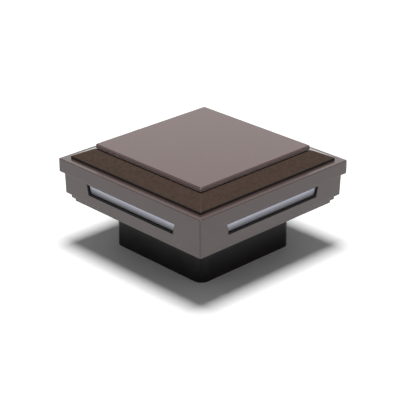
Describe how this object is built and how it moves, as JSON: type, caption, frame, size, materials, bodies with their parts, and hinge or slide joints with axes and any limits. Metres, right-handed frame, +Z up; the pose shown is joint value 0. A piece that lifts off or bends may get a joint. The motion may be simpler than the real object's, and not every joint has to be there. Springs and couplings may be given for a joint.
{
  "type": "post cap light",
  "caption": "Square low-voltage post cap light with a flat top plate, sloped lift-off lid, four slim side windows and a black sleeve that slides over a post.",
  "frame": {"origin": "centre of the post sleeve's open foot, at the bottom of the part", "axes": "+Z up along the post; the four window faces look along +X, -X, +Y and -Y; -Y is the front"},
  "size_m": [0.158, 0.158, 0.0851],
  "materials": {
    "bronze_paint": "satin bronze powder coat",
    "plate_paint": "smooth satin taupe-bronze coat",
    "collar_paint": "dark metallic bronze coat",
    "black_plastic": "satin black moulding",
    "black_gloss": "glossy black liner",
    "black_rubber": "matt black",
    "frosted_lens": "frosted diffuser with fine ribs",
    "white_plastic": "bright white moulding",
    "white_board": "white solder mask",
    "green_board": "green solder mask",
    "led_yellow": "phosphor",
    "steel": "stainless steel",
    "brass": "turned brass",
    "chip_black": "moulded epoxy",
    "can_sleeve": "shrink sleeve",
    "ferrite": "ferrite and wound copper",
    "terminal_green": "green nylon",
    "wire_red": "insulated wire",
    "wire_black": "insulated wire"
  },
  "bodies": {
    "base": {"post_sleeve": "black_plastic", "bottom_plate": "bronze_paint", "bottom_seal": "black_rubber", "cable_grommet": "black_rubber", "housing": "bronze_paint", "bottom_plate_screws": "steel", "sleeve_screws": "steel", "lid_screws": "steel", "lid_screw_retainers": "black_plastic", "led_board_screws": "steel", "reflector_screws": "steel", "driver_board": "green_board", "driver_screws": "steel", "bridge_rectifier": "chip_black", "capacitor": "can_sleeve", "inductor": "ferrite", "driver_chip": "chip_black", "resistors": "chip_black", "terminal_block": "terminal_green", "terminal_screws": "steel", "wires_red": "wire_red", "wires_black": "wire_black", "lens_front": "frosted_lens", "lens_frame_front": "black_gloss", "reflector_front": "white_plastic", "led_board_front": "white_board", "leds_front": "led_yellow", "lens_right": "frosted_lens", "lens_frame_right": "black_gloss", "reflector_right": "white_plastic", "led_board_right": "white_board", "leds_right": "led_yellow", "lens_back": "frosted_lens", "lens_frame_back": "black_gloss", "reflector_back": "white_plastic", "led_board_back": "white_board", "leds_back": "led_yellow", "lens_left": "frosted_lens", "lens_frame_left": "black_gloss", "reflector_left": "white_plastic", "led_board_left": "white_board", "leds_left": "led_yellow"},
    "lid": {"lid_gasket": "black_rubber", "sloped_collar": "collar_paint", "top_plate": "plate_paint", "threaded_inserts": "brass", "top_plate_screws": "steel"}
  },
  "joints": [
    {"name": "lid_lift", "type": "slide", "parent": "base", "child": "lid", "axis": [0, 0, 1], "range_m": [0, 0.06]}
  ]
}
